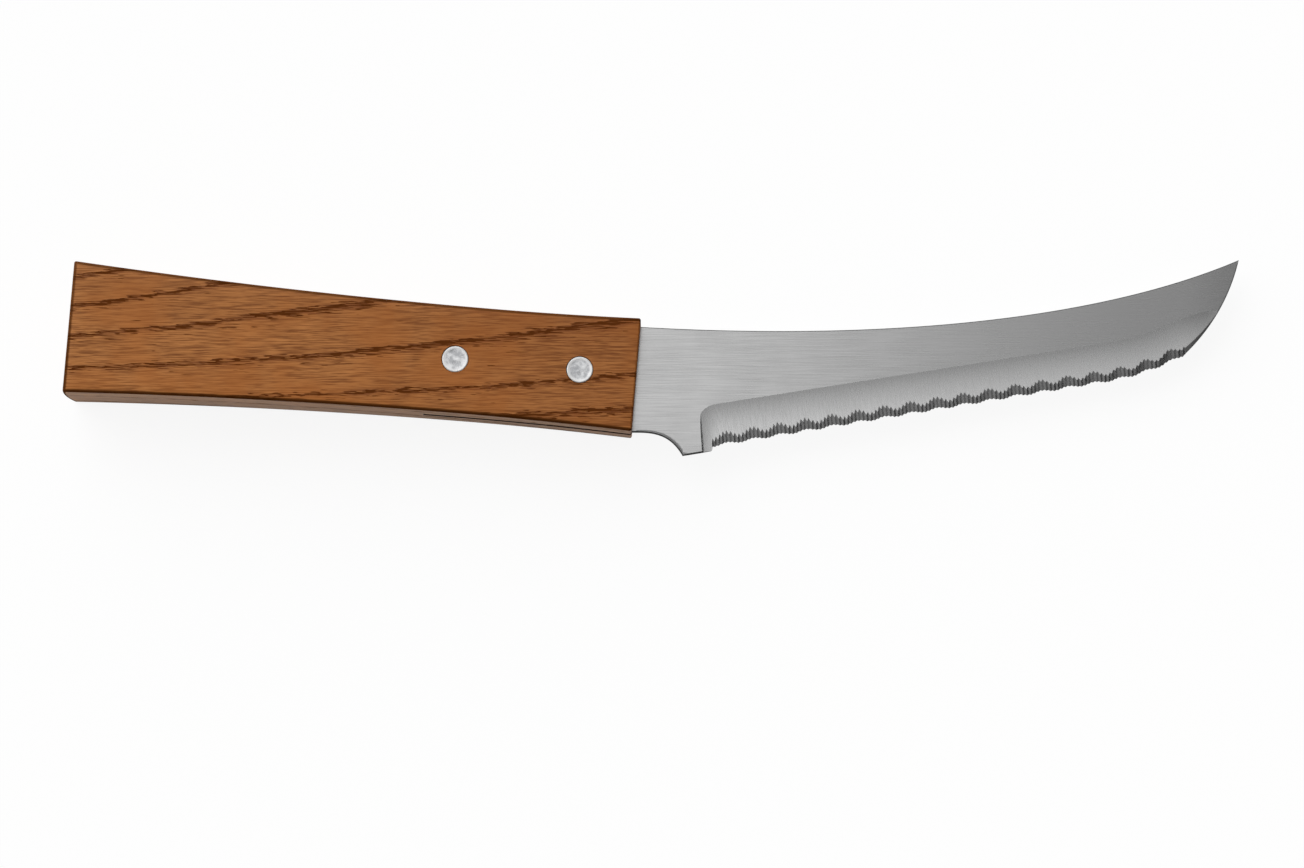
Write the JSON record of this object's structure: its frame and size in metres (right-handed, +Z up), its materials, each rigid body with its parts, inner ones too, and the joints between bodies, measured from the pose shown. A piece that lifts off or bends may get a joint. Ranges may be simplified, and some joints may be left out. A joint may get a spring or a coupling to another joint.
{
  "type": "soft cheese knife",
  "caption": "Soft cheese knife: upswept stainless blade with a hollow-ground, fine-serrated edge and round tip, riveted into the saw kerf of a waisted wooden handle.",
  "frame": {"origin": "on the table that the knife lies on, under the middle of its outline", "axes": "+Z up from the table, out of the knife's right side; +X along the blade to the tip; +Y to the spine"},
  "size_m": [0.2248, 0.0378, 0.015],
  "materials": {
    "handle_wood": "oiled ring-porous hardwood, satin, grain along the handle",
    "blade_steel": "stainless, brushed along the flats and cross-ground below the bevel line",
    "rivet_aluminium": "peened and ground, slightly mottled"
  },
  "bodies": {
    "root": {"handle": "handle_wood", "blade": "blade_steel", "front_rivet": "rivet_aluminium", "rear_rivet": "rivet_aluminium"}
  },
  "joints": []
}
